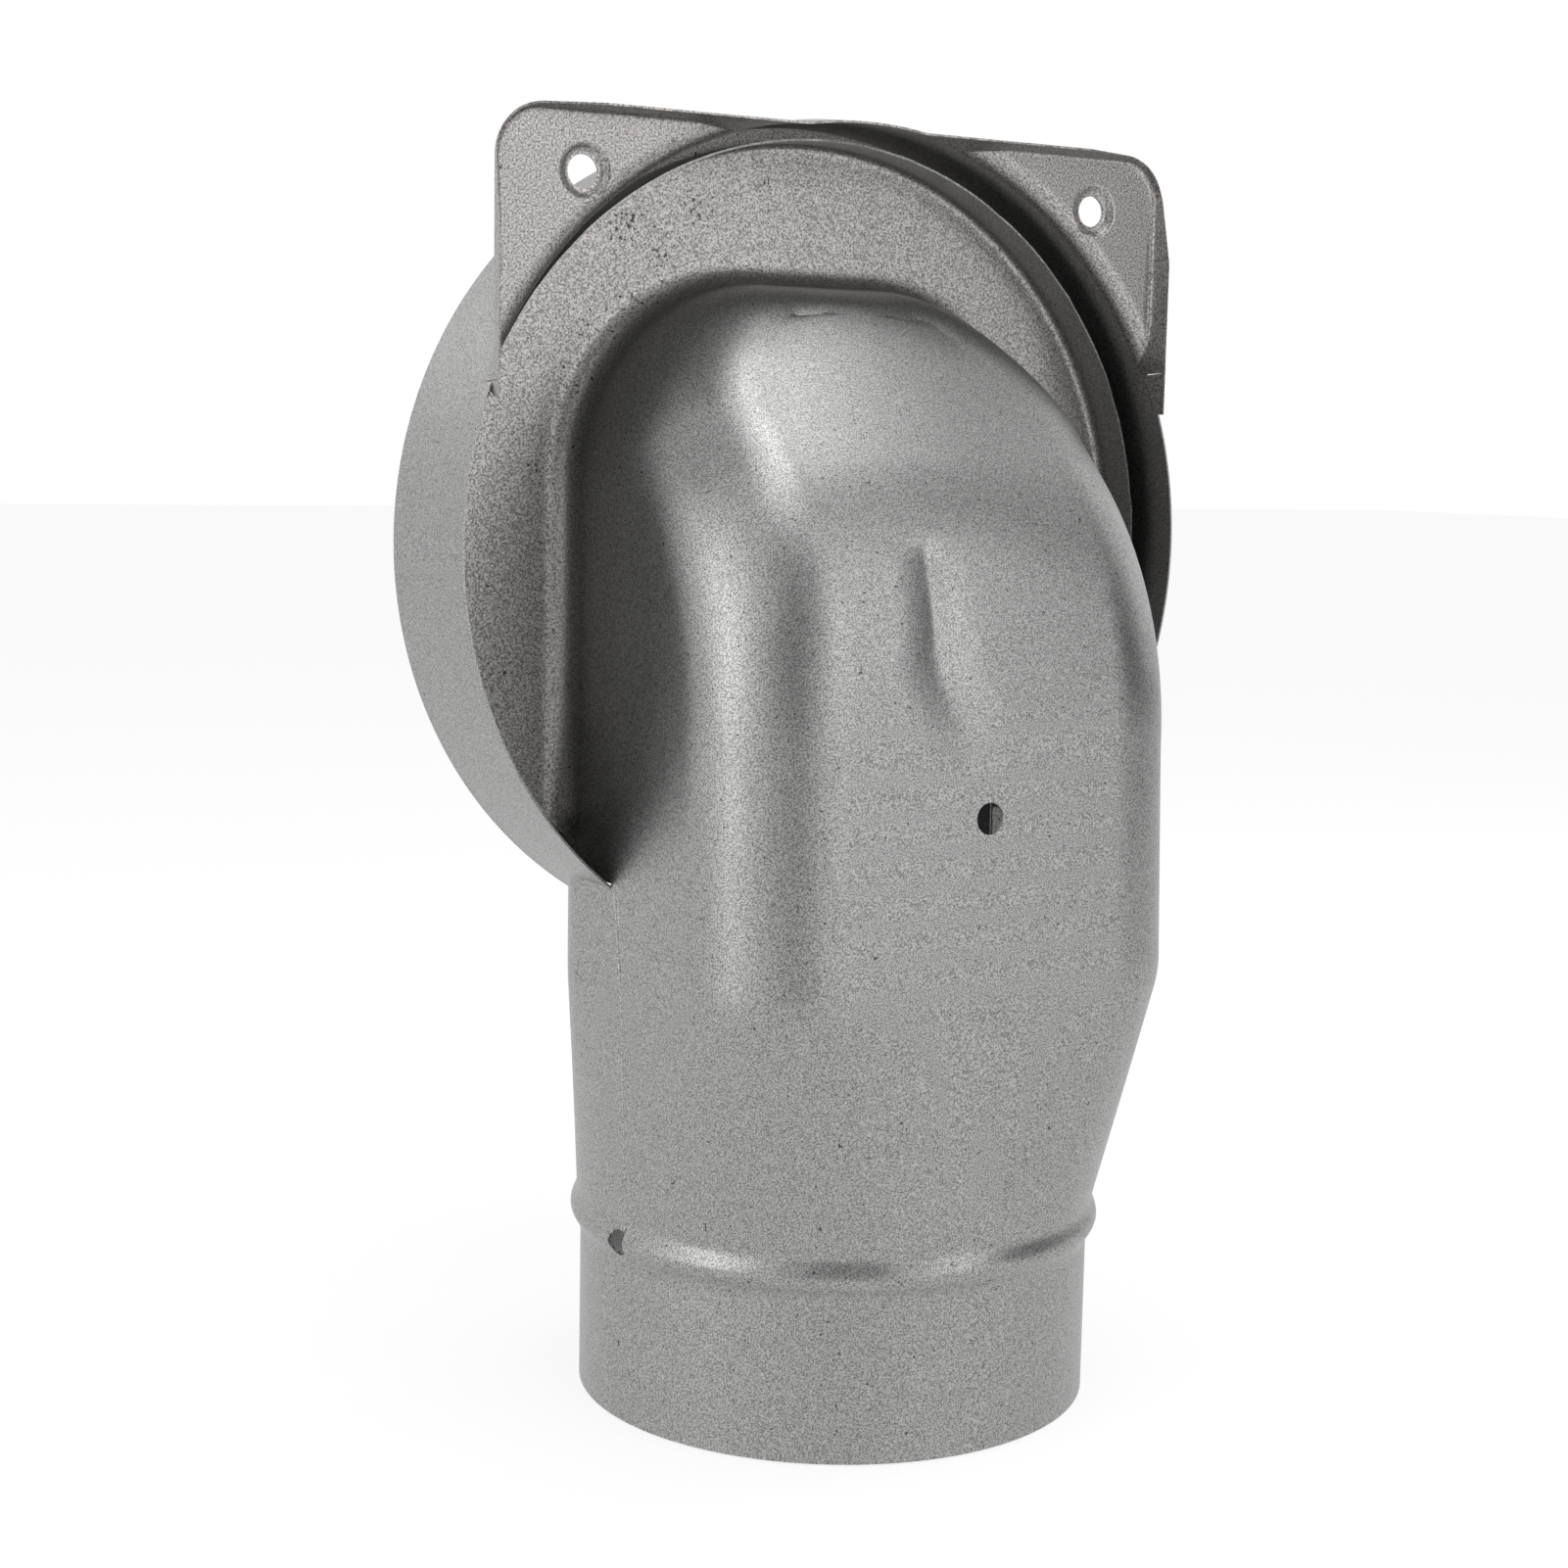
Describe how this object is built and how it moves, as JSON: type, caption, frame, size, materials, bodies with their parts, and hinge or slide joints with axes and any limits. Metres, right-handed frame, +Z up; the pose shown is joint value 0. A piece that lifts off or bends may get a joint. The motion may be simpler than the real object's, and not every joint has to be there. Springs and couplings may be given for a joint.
{
  "type": "dryer vent connector",
  "caption": "Right-angle sheet steel dryer vent connector: beaded round spigot, flat-fronted elbow, wide collar and an ear plate.",
  "frame": {"origin": "centre of the spigot's open end, on the surface that the connector stands on", "axes": "+Z up the spigot's axis, -Y out of the elbow's flat front, +Y out of the open collar"},
  "size_m": [0.161, 0.104, 0.2443],
  "materials": {
    "front_sheet": "satin galvanised sheet",
    "rear_sheet": "satin galvanised sheet"
  },
  "bodies": {
    "root": {"front_shell": "front_sheet", "rear_shell": "rear_sheet"}
  },
  "joints": []
}
